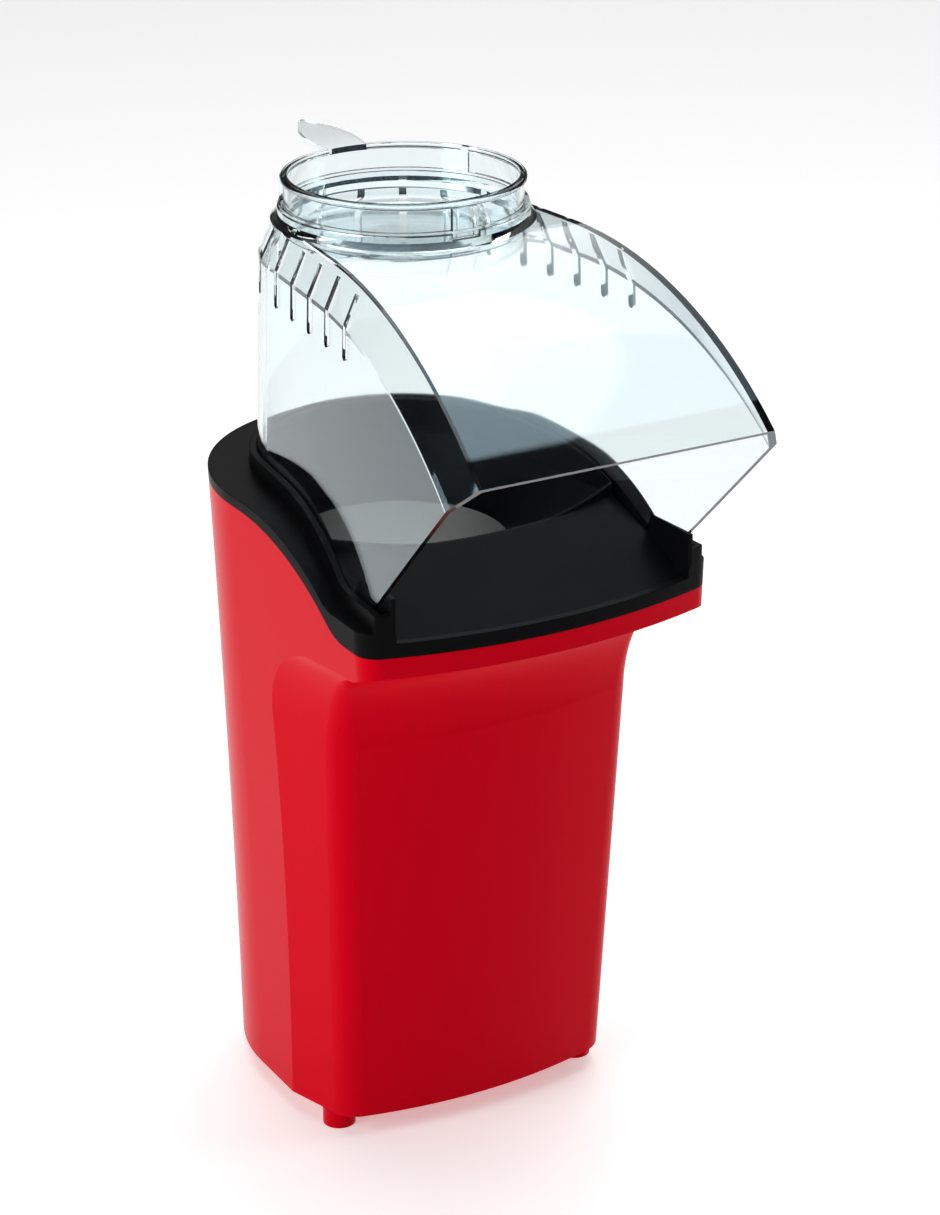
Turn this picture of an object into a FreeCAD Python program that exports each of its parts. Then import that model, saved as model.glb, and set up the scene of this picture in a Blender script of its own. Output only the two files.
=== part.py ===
import FreeCAD, Part
import math
import os
import re

import Sketcher

# Hot-air popcorn maker.  Millimetres, +Z up, feet on Z = 0, front towards -Y.
# Shapes are drawn about the upright axis of the popping chamber and then moved back by
# AXIS_BACK, so that the whole object stands centred on the origin.

SIZES = {
    # heights
    "foot_height": 10.0,
    "seam_height": 283.4,
    "seam_drop": 28.8,
    "seam_start": 11.6,
    "seam_upper_bend": 130.0,
    "seam_lower_bend": 24.0,
    "seam_slope": 36.0,
    "flange_height": 288.0,
    "flange_drop": 22.6,
    "flange_start": 19.0,
    "flange_upper_bend": 113.0,
    "flange_lower_bend": 16.0,
    "flange_slope": 35.0,
    "roof_height": 399.0,
    # body shell
    "head_radius": 83.9,
    "waist_radius": 78.9,
    "bottom_radius": 75.8,
    "waist_height": 150.0,
    "head_depth": 132.5,
    "head_front_radius": 250.0,
    "head_corner": 10.0,
    "panel_depth": 74.5,
    "panel_lean": 11.5,
    "panel_radius": 230.0,
    "panel_corner": 14.0,
    "chamfer_side": 75.8,
    "chamfer_flare": 4.4,
    "chamfer_back": 32.0,
    "chamfer_angle": 17.0,
    "chamfer_untwist": 6.0,
    "cove_height": 195.0,
    "cove_width": 18.0,
    "cove_rise": 38.0,
    "cove_side_width": 12.0,
    "cove_side_rise": 44.0,
    "cove_slope": 23.0,
    "shell_wall": 2.6,
    # trim
    "trim_wall": 2.6,
    "rim_height": 8.0,
    "rim_wall": 3.0,
    "groove_depth": 3.0,
    "groove_gap": 0.4,
    "rim_setback": 62.0,
    "deck_edge_height": 260.8,
    "deck_edge_rim": 3.7,
    "deck_half_width": 69.5,
    "lip_height": 280.1,
    "lip_depth": 80.0,
    "lip_radius": 169.0,
    "bowl_height": 254.0,
    "bowl_wall": 3.2,
    "lip_overlap": 4.0,
    # hood
    "hood_radius": 62.3,
    "hood_flare": 7.0,
    "hood_side_radius": 2400.0,
    "hood_wall": 2.4,
    "hood_draft": 0.03,
    "shoulder_width": 7.0,
    "shoulder_drop": 15.0,
    "roof_bend": 48.0,
    "roof_radius": 200.0,
    "mouth_reach": 184.1,
    "mouth_angle": 45.0,
    "vent_width": 3.4,
    "vent_drop": 30.5,
    "vent_pitch": 18.8,
    "vent_count": 5.0,
    "vent_start": 4.0,
    "vent_top_gap": 3.4,
    "rear_vents": 8.0,
    "rear_vent_angle": 20.5,
    # measuring cap
    "cap_forward": 5.0,
    "rim_radius": 52.0,
    "rim_bead": 2.9,
    "cap_wall": 1.8,
    "cap_stand": 13.3,
    "cap_depth": 26.0,
    "collar_height": 5.0,
    "collar_wall": 2.2,
    "cap_gap": 0.4,
    "tab_length": 42.0,
    "tab_width": 21.0,
    "tab_thickness": 2.4,
    "lug_width": 12.0,
    # popping chamber and heater
    "chamber_radius": 48.0,
    "chamber_wall": 0.8,
    "chamber_bottom": 165.0,
    "chamber_rim": 5.0,
    "louvre_count": 18.0,
    "gasket_thickness": 2.7,
    "housing_radius": 60.0,
    "housing_wall": 0.8,
    "housing_flange": 10.0,
    "housing_bottom": 100.0,
    "mica_thickness": 1.0,
    "mica_height": 54.0,
    "coil_radius": 40.0,
    "coil_wire": 1.5,
    "coil_pitch": 9.0,
    "coil_turns": 5.0,
    "dropper_radius": 22.0,
    # fan
    "fan_wall": 0.8,
    "fan_floor": 60.0,
    "fan_radius": 48.0,
    "fan_blades": 16.0,
    "fan_height": 22.0,
    "inlet_radius": 34.0,
    "fan_gap": 4.0,
    "bush_height": 6.0,
    "bush_radius": 5.0,
    "bracket_reach": 46.0,
    "bracket_thickness": 2.0,
    # motor
    "motor_radius": 18.0,
    "motor_height": 36.0,
    "motor_wall": 1.2,
    "magnet_thickness": 4.0,
    "air_gap": 0.6,
    "shaft_radius": 1.6,
    "shaft_gap": 0.05,
    # fasteners and small parts
    "screw_radius": 1.9,
    "screw_head_radius": 3.6,
    "screw_head": 2.4,
    "boss_radius": 4.4,
    "foot_radius": 7.3,
    "foot_side": 61.5,
    "foot_front": 49.5,
    "foot_rear_side": 48.0,
    "foot_rear": 47.0,
    "cover_thickness": 2.8,
    "cover_gap": 0.3,
    "boss_height": 26.0,
    "rib_length": 16.0,
    "rib_thickness": 2.4,
    "rib_height": 22.0,
    "grille_start": 14.0,
    "grille_length": 28.0,
    "grille_width": 3.2,
    "grille_count": 20.0,
    "cove_screw_side": 74.5,
    "cove_screw_front": 101.0,
    "gland_height": 42.0,
    "gland_radius": 6.5,
    "cord_radius": 3.6,
    "clamp_reach": 9.0,
    "clamp_back": 58.0,
    "board_side": 28.0,
    "board_back": 46.0,
    "board_rise": 6.0,
}

doc = FreeCAD.newDocument("PopcornMaker")
sheet = doc.addObject("Spreadsheet::Sheet", "Sizes")
for row, (alias, number) in enumerate(SIZES.items(), start=1):
    sheet.set("A%d" % row, alias)
    sheet.set("B%d" % row, str(number))
    sheet.setAlias("B%d" % row, alias)
doc.recompute()

AXIS_BACK = ("(Sizes.mouth_reach - max(Sizes.head_radius; Sizes.rim_radius + Sizes.tab_length"
             " - Sizes.cap_forward)) / 2")
UP = FreeCAD.Vector(0, 0, 1)
FAR = 400.0
nodes = []


def size(name):
    """The number that the sheet holds for a name."""
    return float(getattr(sheet, name))


def bound(text):
    """A sum of size names as an expression on the sheet."""
    def named(found):
        word = found.group()
        return "Sizes." + word if word in SIZES else word

    return re.sub(r"[a-z_]+", named, text)


def amount(text):
    """The value of the same sum, as a number."""
    total = 0.0
    for sign, term in re.findall(r"([+-]?)\s*([\w.]+)", text):
        value = size(term) if term[0].isalpha() else float(term)
        total += -value if sign == "-" else value
    return total


def vec(x, y, z=0.0):
    return FreeCAD.Vector(x, y, z)


def keep(thing, label):
    """Names a finished sub-part."""
    thing.Label = label
    nodes.append(thing)
    return thing


def stand_on_axis(thing):
    thing.setExpression("Placement.Base.y", AXIS_BACK)


def shaped(label, shape):
    """A sub-part whose form neither sketches nor primitives give."""
    thing = doc.addObject("Part::Feature", label)
    thing.Shape = shape
    stand_on_axis(thing)
    return keep(thing, label)


def place(thing, x="0", y="0", z="0"):
    thing.setExpression("Placement.Base.x", bound(x))
    thing.setExpression("Placement.Base.y", "%s + %s" % (AXIS_BACK, bound(y)))
    thing.setExpression("Placement.Base.z", bound(z))
    return thing


def rod(name, radius, height, x="0", y="0", z="0"):
    """An upright cylinder."""
    thing = doc.addObject("Part::Cylinder", name)
    thing.setExpression("Radius", bound(radius))
    thing.setExpression("Height", bound(height))
    return place(thing, x, y, z)


def block(name, length, width, height, x="0", y="0", z="0"):
    """A box standing on z, centred on x and y."""
    thing = doc.addObject("Part::Box", name)
    thing.setExpression("Length", bound(length))
    thing.setExpression("Width", bound(width))
    thing.setExpression("Height", bound(height))
    return place(thing, "%s - (%s) / 2" % (x, length), "%s - (%s) / 2" % (y, width), z)


def joined(name, things):
    thing = doc.addObject("Part::MultiFuse", name)
    thing.Shapes = things
    return thing


def grouped(name, things):
    thing = doc.addObject("Part::Compound", name)
    thing.Links = things
    return thing


def minus(name, base, tool):
    thing = doc.addObject("Part::Cut", name)
    thing.Base = base
    thing.Tool = tool
    return thing


def turned(name, outline, label=None):
    """A PartDesign body revolved about the chamber axis.

    The outline is a closed list of (radius, height) pairs, each a sum of size names.
    """
    body = doc.addObject("PartDesign::Body", name)
    sketch = body.newObject("Sketcher::SketchObject", name + "_outline")
    plane = [f for f in body.Origin.OriginFeatures if f.Role == "XZ_Plane"][0]
    sketch.AttachmentSupport = [(plane, "")]
    sketch.MapMode = "FlatFace"
    points = [vec(amount(r), amount(z)) for r, z in outline]
    count = len(points)
    for k in range(count):
        sketch.addGeometry(Part.LineSegment(points[k], points[(k + 1) % count]), False)
    for k in range(count):
        sketch.addConstraint(Sketcher.Constraint("Coincident", k, 2, (k + 1) % count, 1))
    for k, (radius, height) in enumerate(outline):
        if points[k].x == 0.0:
            sketch.addConstraint(Sketcher.Constraint("PointOnObject", k, 1, -2))
        else:
            across = sketch.addConstraint(Sketcher.Constraint("DistanceX", -1, 1, k, 1, points[k].x))
            sketch.setExpression("Constraints[%d]" % across, bound(radius))
        up = sketch.addConstraint(Sketcher.Constraint("DistanceY", -1, 1, k, 1, points[k].y))
        sketch.setExpression("Constraints[%d]" % up, bound(height))
    turn = body.newObject("PartDesign::Revolution", name + "_turn")
    turn.Profile = sketch
    turn.ReferenceAxis = (sketch, ["V_Axis"])
    turn.Angle = 360.0
    sketch.Visibility = False
    stand_on_axis(body)
    if label:
        keep(body, label)
    return body


def ring_of(name, tool, count):
    """Copies of a tool spread evenly round the chamber axis, as one object."""
    made = []
    for k in range(count):
        turn = doc.addObject("Part::Feature", "%s_%d" % (name, k))
        turn.Shape = tool.rotated(vec(0, 0), UP, 360.0 * k / count)
        stand_on_axis(turn)
        made.append(turn)
    return joined(name, made)


# ---------------------------------------------------------------- outlines

def arc(centre, radius, start, end):
    """A horizontal arc about a centre, from one angle to another in degrees."""
    spots = []
    for angle in (start, (start + end) / 2, end):
        turn = math.radians(angle)
        spots.append(centre + vec(radius * math.cos(turn), radius * math.sin(turn)))
    return Part.Arc(*spots).toShape()


def mirrored_edges(edges):
    """A right-hand chain of edges followed by its mirror image, as one closed wire."""
    chain = Part.Wire(edges)
    other = chain.mirror(vec(0, 0), vec(1, 0))
    return Part.Wire(Part.__sortEdges__(chain.Edges + other.Edges))


def head_outline(radius, depth, front_radius, corner, height):
    """Round at the back, straight sides, rounded corners and a slightly bowed front."""
    front_centre = vec(0, front_radius - depth)
    reach = math.sqrt((front_radius - corner) ** 2 - (radius - corner) ** 2)
    corner_centre = vec(radius - corner, front_centre.y - reach)
    lean = math.degrees(math.atan2(corner_centre.y - front_centre.y, corner_centre.x))
    edges = [
        arc(vec(0, 0), radius, 90, 0),
        Part.LineSegment(vec(radius, 0), vec(radius, corner_centre.y)).toShape(),
        arc(corner_centre, corner, 0, lean),
        arc(front_centre, front_radius, lean, -90),
    ]
    wire = mirrored_edges(edges)
    wire.translate(vec(0, 0, height))
    return wire


def head_block(inset, low, high):
    """The flaring outline of body and trim as a solid, set in by a wall."""
    wires = []
    bottom = size("bottom_radius")
    for height in (size("foot_height"), size("waist_height"), size("flange_height") + 12.0):
        if height == size("foot_height"):
            radius = bottom
        elif height == size("waist_height"):
            radius = size("waist_radius")
        else:
            radius = size("head_radius") + 0.4
        wires.append(head_outline(radius - inset, size("head_depth") - inset,
                                  size("head_front_radius") - inset,
                                  size("head_corner") - inset, height))
    solid = Part.makeLoft(wires, True, False)
    slab = Part.makeBox(FAR, FAR, high - low, vec(-FAR / 2, -FAR / 2, low))
    return solid.common(slab)


def s_curve(height, drop, start, upper, lower, slope):
    """Side view of an edge that is high at the back and low at the front, as edges in YZ."""
    lean = math.radians(slope)
    first = (start - upper * math.sin(lean), height - upper * (1 - math.cos(lean)))
    low = height - drop
    second_height = low + lower * (1 - math.cos(lean))
    second = (first[0] - (first[1] - second_height) / math.tan(lean), second_height)
    last = (second[0] - lower * math.sin(lean), low)
    half = lean / 2
    upper_mid = (start - upper * math.sin(half), height - upper * (1 - math.cos(half)))
    lower_mid = (last[0] + lower * math.sin(half), low + lower * (1 - math.cos(half)))

    def at(pair):
        return vec(0, pair[0], pair[1])

    return [
        Part.LineSegment(vec(0, FAR, height), vec(0, start, height)).toShape(),
        Part.Arc(vec(0, start, height), at(upper_mid), at(first)).toShape(),
        Part.LineSegment(at(first), at(second)).toShape(),
        Part.Arc(at(second), at(lower_mid), at(last)).toShape(),
        Part.LineSegment(at(last), vec(0, -FAR, low)).toShape(),
    ]


def under(edges, shift=0.0):
    """Everything below a side-view curve, as a wide solid."""
    low = -100.0
    first = edges[0].Vertexes[0].Point
    last = edges[-1].Vertexes[-1].Point
    closing = [
        Part.LineSegment(vec(0, last.y, last.z), vec(0, last.y, low)).toShape(),
        Part.LineSegment(vec(0, last.y, low), vec(0, first.y, low)).toShape(),
        Part.LineSegment(vec(0, first.y, low), vec(0, first.y, first.z)).toShape(),
    ]
    face = Part.Face(Part.Wire(Part.__sortEdges__(edges + closing)))
    face.translate(vec(-FAR / 2, 0, shift))
    return face.extrude(vec(FAR, 0, 0))


def seam_curve():
    return s_curve(size("seam_height"), size("seam_drop"), -size("seam_start"),
                   size("seam_upper_bend"), size("seam_lower_bend"), size("seam_slope"))


def flange_curve():
    return s_curve(size("flange_height"), size("flange_drop"), -size("flange_start"),
                   size("flange_upper_bend"), size("flange_lower_bend"), size("flange_slope"))


# ---------------------------------------------------------------- body shell

def cove_reach(height, width, rise):
    """How far the cove has swung out from the panel at a height: an elliptic bend, then a slope."""
    climb = height - size("cove_height")
    slope = math.tan(math.radians(size("cove_slope")))
    turn = math.atan2(rise, width * slope)
    bend_top = rise * math.sin(turn)
    if climb <= 0.0:
        return 0.0
    if climb < bend_top:
        return width * (1.0 - math.sqrt(1.0 - (climb / rise) ** 2))
    return width * (1.0 - math.cos(turn)) + (climb - bend_top) / slope


def panel_outline(height, inset):
    """Plan at a height of the bowed front panel and the chamfers, closed well behind the head.

    The panel leans forward with height and the chamfers untwist; above the panel both swing
    outwards, and the corner between them sharpens into a crease.
    """
    tall = size("cove_height") - size("foot_height")
    share = min((height - size("foot_height")) / tall, 1.0)
    angle = size("chamfer_angle") - share * size("chamfer_untwist")
    lean = math.radians(angle)
    along = vec(-math.sin(lean), -math.cos(lean))
    outward = vec(math.cos(lean), -math.sin(lean))
    side = cove_reach(height - inset, size("cove_side_width"), size("cove_side_rise")) - inset
    front = cove_reach(height - inset, size("cove_width"), size("cove_rise")) - inset
    start = vec(size("chamfer_side") + share * size("chamfer_flare"), -size("chamfer_back"))
    start += outward * side
    centre = vec(0, size("panel_radius") - size("panel_depth") - share * size("panel_lean"))
    radius = size("panel_radius") + front
    crease = (height - inset - size("cove_height")) / size("cove_side_rise")
    sharpened = 1.0 - 0.8 * min(max(crease, 0.0), 1.0)
    corner = max(size("panel_corner") * sharpened - inset, 1.0)
    base = start - outward * corner - centre
    dot = base.dot(along)
    reach = -dot + math.sqrt(dot * dot - base.dot(base) + (radius - corner) ** 2)
    corner_centre = start - outward * corner + along * reach
    lean_angle = math.degrees(math.atan2(corner_centre.y - centre.y, corner_centre.x))
    behind = size("head_radius") + 20.0
    back = start - along * ((behind - start.y) / math.cos(lean))
    wire = mirrored_edges([
        Part.LineSegment(vec(0, behind), back).toShape(),
        Part.LineSegment(back, start + along * reach).toShape(),
        arc(corner_centre, corner, -angle, lean_angle),
        arc(centre, radius, lean_angle, -90),
    ])
    wire.translate(vec(0, 0, height))
    return wire


def cove_form(inset):
    """Everything behind the panel and above the cove, reaching out past the head."""
    low = size("foot_height") - 10.0
    start = size("cove_height") + inset
    steps = 9
    last = math.radians(80.0)
    bend = [start + size("cove_side_rise") * math.sin(last * k / steps) / math.sin(last)
            for k in range(steps + 1)]
    ledge_top = bend[-1] + 16.0
    stages = [
        ([low, start], True),
        (bend, False),
        ([bend[-1], ledge_top], True),
    ]
    solids = [Part.makeLoft([panel_outline(height, inset) for height in heights], True, ruled)
              for heights, ruled in stages]
    above = Part.Face(panel_outline(ledge_top, inset)).extrude(vec(0, 0, 80.0))
    return solids[0].fuse(solids[1:] + [above])


def bare_body(inset, low, high):
    """Head block less cove: the body's outside, or its inside when set in by a wall."""
    return head_block(inset, low, high).common(cove_form(inset))


def upright(radius, low, high, x, y):
    return Part.makeCylinder(radius, high - low, vec(x, y, low))


def feet_spots():
    side, front = size("foot_side"), size("foot_front")
    rear_side, rear = size("foot_rear_side"), size("foot_rear")
    return [(side, -front), (-side, -front), (rear_side, rear), (-rear_side, rear)]


def cove_screw_spots():
    return [(sign * size("cove_screw_side"), -size("cove_screw_front")) for sign in (1, -1)]


def cove_seat_height():
    """Top of the moulded seat that each cove screw pulls against."""
    return size("cove_height") + size("cove_side_rise") + 6.0


def make_body_shell():
    wall = size("shell_wall")
    bottom = size("foot_height")
    top = size("flange_height") + 8.0
    outside = bare_body(0.0, bottom, top)
    shell = outside.cut(bare_body(wall, bottom, top))
    # bosses for the base screws, tied to the wall by ribs
    extras = []
    cover_top = bottom + size("cover_gap") + size("cover_thickness")
    for x, y in feet_spots():
        extras.append(upright(size("boss_radius"), cover_top, cover_top + size("boss_height"), x, y))
        out = vec(x, y)
        if y < 0:
            lean = math.radians(size("chamfer_angle"))
            out = vec(math.copysign(math.cos(lean), x), -math.sin(lean))
        out.normalize()
        thick = size("rib_thickness")
        rib = Part.makeBox(size("rib_length"), thick, size("rib_height"),
                           vec(0, -thick / 2, cover_top))
        rib.rotate(vec(0, 0), UP, math.degrees(math.atan2(out.y, out.x)))
        rib.translate(vec(x, y))
        extras.append(rib)
    seat = cove_seat_height()
    for x, y in cove_screw_spots():
        extras.append(upright(size("screw_head_radius") + 3.2, size("cove_height"), seat, x, y))
    kept = [extra.common(outside) for extra in extras]
    shell = shell.fuse(kept)
    # holes: pilot holes, sunk cove holes, and the cord's way out at the back
    holes = [upright(size("screw_radius") + size("shaft_gap"), 0.0, cover_top + 24.0, x, y)
             for x, y in feet_spots()]
    for x, y in cove_screw_spots():
        holes.append(upright(size("screw_head_radius") + 0.9, 0.0, seat - 3.0, x, y))
        holes.append(upright(size("screw_radius") + 0.3, 0.0, seat + 10.0, x, y))
        holes.append(upright(size("boss_radius") + size("cover_gap"), seat, seat + 10.0, x, y))
    holes.append(Part.makeCylinder(size("gland_radius") + 0.1, 60.0,
                                   vec(0, 40.0, size("gland_height")), vec(0, 1, 0)))
    shell = shell.cut(holes)
    return shell.common(under(seam_curve())).removeSplitter()


def make_base_cover():
    bottom = size("foot_height")
    low = bottom + size("cover_gap")
    high = low + size("cover_thickness")
    inset = size("shell_wall") + size("cover_gap")
    plate = bare_body(inset, low, high)
    feet = []
    for x, y in feet_spots():
        feet.append(upright(size("foot_radius"), 0.0, bottom - size("cover_gap"), x, y))
        feet.append(upright(size("foot_radius") - 2.6, 0.0, high, x, y))
    # a grille of radial slots under the motor lets the air in
    slot = Part.makeBox(size("grille_length"), size("grille_width"), high + 1.0,
                        vec(size("grille_start"), -size("grille_width") / 2, 0.0))
    count = int(size("grille_count"))
    slots = [slot.rotated(vec(0, 0), UP, 360.0 * k / count) for k in range(count)]
    posts = [upright(2.5, low, high + size("board_rise"), x, y) for x, y in board_posts()]
    cover = plate.fuse(feet + posts)
    holes = []
    for x, y in feet_spots():
        holes.append(upright(size("screw_head_radius") + 0.5, -1.0, 5.5, x, y))
        holes.append(upright(size("screw_radius") + 0.3, -1.0, high + 1.0, x, y))
    for x, y in clamp_screws():
        holes.append(upright(1.3, low - 1.0, high + 1.0, x, y))
    return cover.cut(slots + holes).removeSplitter()


def board_posts():
    return [(side * size("board_side") + step, size("board_back"))
            for side in (-1, 1) for step in (-8.0, 8.0)]


def clamp_screws():
    return [(-size("clamp_reach"), size("clamp_back")), (size("clamp_reach"), size("clamp_back"))]


# ---------------------------------------------------------------- hood outlines

def hood_outline(offset, height, front):
    """Plan of the hood wall: a round back and sides that spread a little to the front."""
    radius = size("hood_radius") + offset
    side = size("hood_side_radius") + offset
    flare = math.radians(size("hood_flare"))
    centre = vec((size("hood_radius") - size("hood_side_radius")) * math.cos(flare),
                 (size("hood_radius") - size("hood_side_radius")) * math.sin(flare))
    end = math.degrees(math.asin((-front - centre.y) / side))
    edges = [
        arc(vec(0, 0), radius, 90, size("hood_flare")),
        arc(centre, side, size("hood_flare"), end),
    ]
    tip = edges[-1].Vertexes[-1].Point
    if abs(tip.y + front) > 0.01:
        tip = edges[-1].Vertexes[0].Point
    edges.append(Part.LineSegment(tip, vec(0, tip.y)).toShape())
    wire = mirrored_edges(edges)
    wire.translate(vec(0, 0, height))
    return wire


def hood_prism(offset, low, high, front):
    """The hood's plan carried upright, leaning in by the moulding draft."""
    base = size("flange_height")
    wires = [hood_outline(offset - size("hood_draft") * (height - base), height, front)
             for height in (low, high)]
    return Part.makeLoft(wires, True, True)


def roof_curve(lower):
    """Side view of the hood's roof: level, then bending down to the mouth."""
    height = size("roof_height") - lower
    radius = size("roof_radius") - lower
    start = -size("roof_bend")
    middle = math.radians(32.0)
    end = math.radians(64.0)
    centre = height - radius

    def at(angle):
        return vec(0, start - radius * math.sin(angle), centre + radius * math.cos(angle))

    return [
        Part.LineSegment(vec(0, FAR, height), vec(0, start, height)).toShape(),
        Part.Arc(vec(0, start, height), at(middle), at(end)).toShape(),
        Part.LineSegment(at(end), vec(0, -FAR, at(end).z)).toShape(),
    ]


def roof_at(y, lower=0.0):
    """Height of the roof at a distance from the axis."""
    radius = size("roof_radius") - lower
    out = max(0.0, -y - size("roof_bend"))
    return size("roof_height") - lower - radius + math.sqrt(radius ** 2 - out ** 2)


def mouth_cutter():
    """Everything in front of the slanted mouth."""
    lean = math.radians(size("mouth_angle"))
    edge = vec(0, -size("mouth_reach"), roof_at(-size("mouth_reach")))
    back = vec(0, math.cos(lean), -math.sin(lean))
    upper = edge - back * 120.0
    lower = edge + back * 320.0
    corners = [upper, lower, vec(0, -FAR, lower.z), vec(0, -FAR, upper.z), upper]
    face = Part.Face(Part.makePolygon(corners))
    face.translate(vec(-FAR / 2, 0, 0))
    return face.extrude(vec(FAR, 0, 0))


def hood_plan_point(part, offset, front):
    """A point of the hood's plan; part runs 0 to 1 round the back and 1 to 2 down the side."""
    flare = size("hood_flare")
    if part <= 1.0:
        turn = math.radians(90.0 + part * (flare - 90.0))
        radius = size("hood_radius") + offset
        return radius * math.cos(turn), radius * math.sin(turn)
    radius = size("hood_side_radius") + offset
    lean = math.radians(flare)
    centre_x = (size("hood_radius") - size("hood_side_radius")) * math.cos(lean)
    centre_y = (size("hood_radius") - size("hood_side_radius")) * math.sin(lean)
    end = math.asin((-front - centre_y) / radius)
    turn = lean + (part - 1.0) * (end - lean)
    return centre_x + radius * math.cos(turn), centre_y + radius * math.sin(turn)


def shoulder_form(lower):
    """A closed form whose upper part slopes in along the roof's edge, for trimming the hood."""
    front = 230.0
    width, drop = size("shoulder_width"), size("shoulder_drop")
    draft = size("hood_draft") * (size("roof_height") - size("flange_height"))
    steps = {0: 14, 1: 26}

    def level_edges(offset, height_of):
        edges = []
        for stretch, count in steps.items():
            spots = [hood_plan_point(stretch + k / count, offset - draft - lower, front)
                     for k in range(count + 1)]
            for sign in (1, -1):
                curve = Part.BSplineCurve()
                curve.interpolate([vec(sign * x, y, height_of(y)) for x, y in spots])
                edges.append(curve.toShape())
        return edges

    levels = [
        level_edges(width, lambda y: 100.0),
        level_edges(width, lambda y: roof_at(max(y, -230.0), lower) - 2 * drop),
        level_edges(-2 * width, lambda y: roof_at(max(y, -230.0), lower) + drop),
        level_edges(-2 * width, lambda y: 600.0),
    ]
    faces = []
    for low, high in zip(levels, levels[1:]):
        for first, second in zip(low, high):
            faces.append(Part.makeRuledSurface(first, second))
    front_spots = []
    for level in levels:
        tip = level[2].Vertexes[-1].Point
        front_spots.append(tip)
    mirrored = [vec(-p.x, p.y, p.z) for p in front_spots]
    faces.append(Part.Face(Part.makePolygon(front_spots + mirrored[::-1] + [front_spots[0]])))
    for level in (levels[0], levels[-1]):
        tip = level[2].Vertexes[-1].Point
        line = Part.LineSegment(tip, vec(-tip.x, tip.y, tip.z)).toShape()
        faces.append(Part.Face(Part.Wire(Part.__sortEdges__(level + [line]))))
    shell = Part.makeShell(faces)
    shell.sewShape(0.01)
    solid = Part.makeSolid(shell.Shells[0] if shell.Shells else shell)
    if solid.Volume < 0:
        solid.reverse()
    return solid


def hood_form(lower):
    """The hood's outside, or its inside when drawn one wall in."""
    low = size("flange_height") - 50.0
    form = hood_prism(-lower, low, size("roof_height") + 20.0, 229.0)
    return form.common(under(roof_curve(lower))).common(shoulder_form(lower))


def vent_cutters():
    """The cooling slots: five down each side and eight round the back, all over the shoulder."""
    width = size("vent_width")
    low = size("roof_height") - size("vent_drop")
    made = []

    def slot(reach, y_top):
        high = roof_at(y_top) - size("vent_top_gap")
        body = Part.makeBox(40.0, width, high - low, vec(reach, -width / 2, low))
        end = Part.makeCylinder(width / 2, 40.0, vec(reach, 0, low), vec(1, 0, 0))
        return body.fuse(end)

    start = size("hood_radius") - size("shoulder_width")
    for k in range(int(size("vent_count"))):
        y = -size("vent_start") - size("vent_pitch") * k
        reach = start - 2.2 + math.tan(math.radians(size("hood_flare"))) * -y * 0.9
        right = slot(reach, y)
        right.translate(vec(0, y, 0))
        made += [right, right.mirror(vec(0, 0), vec(1, 0))]
    rear = int(size("rear_vents"))
    for k in range(rear):
        back = slot(start - 2.2, 0.0)
        turn = 90.0 + (k - (rear - 1) / 2) * size("rear_vent_angle")
        made.append(back.rotated(vec(0, 0), UP, turn))
    return made


def collar_inner():
    """Bore of the hood's collar, round the measuring cap's skirt."""
    return cap_skirt() + size("cap_gap")


def cap_skirt():
    return size("rim_radius") - 1.2


def collar_top():
    return size("roof_height") + size("collar_height")


def cap_axis():
    return vec(0, -size("cap_forward"), 0)


def tube(inner, outer, low, high):
    ring = Part.makeCylinder(outer, high - low, vec(0, 0, low))
    return ring.cut(Part.makeCylinder(inner, high - low + 2.0, vec(0, 0, low - 1.0)))


def make_hood():
    wall = size("hood_wall")
    hood = hood_form(0.0).cut(hood_form(wall))
    roof = size("roof_height")
    inner = collar_inner()
    outer = inner + size("collar_wall")
    collar = tube(inner, outer, roof - wall, collar_top())
    foot = Part.makeCone(outer + 3.0, outer, 3.0, vec(0, 0, roof - 0.4))
    foot = foot.cut(Part.makeCylinder(inner, 10.0, vec(0, 0, roof - 2.0)))
    collar = collar.fuse(foot)
    notch = Part.makeBox(size("lug_width") + 1.2, 20.0, 10.0,
                         vec(-size("lug_width") / 2 - 0.6, -outer - 6.0, collar_top() - 2.4))
    collar = collar.cut(notch)
    collar.translate(cap_axis())
    bore = Part.makeCylinder(inner, 60.0, vec(0, 0, roof - 30.0))
    bore.translate(cap_axis())
    hood = hood.cut(bore).fuse(collar)
    hood = hood.cut(mouth_cutter())
    hood = hood.cut(under(flange_curve(), size("cover_gap") - size("groove_depth")))
    return hood.cut(vent_cutters()).removeSplitter()


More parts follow.
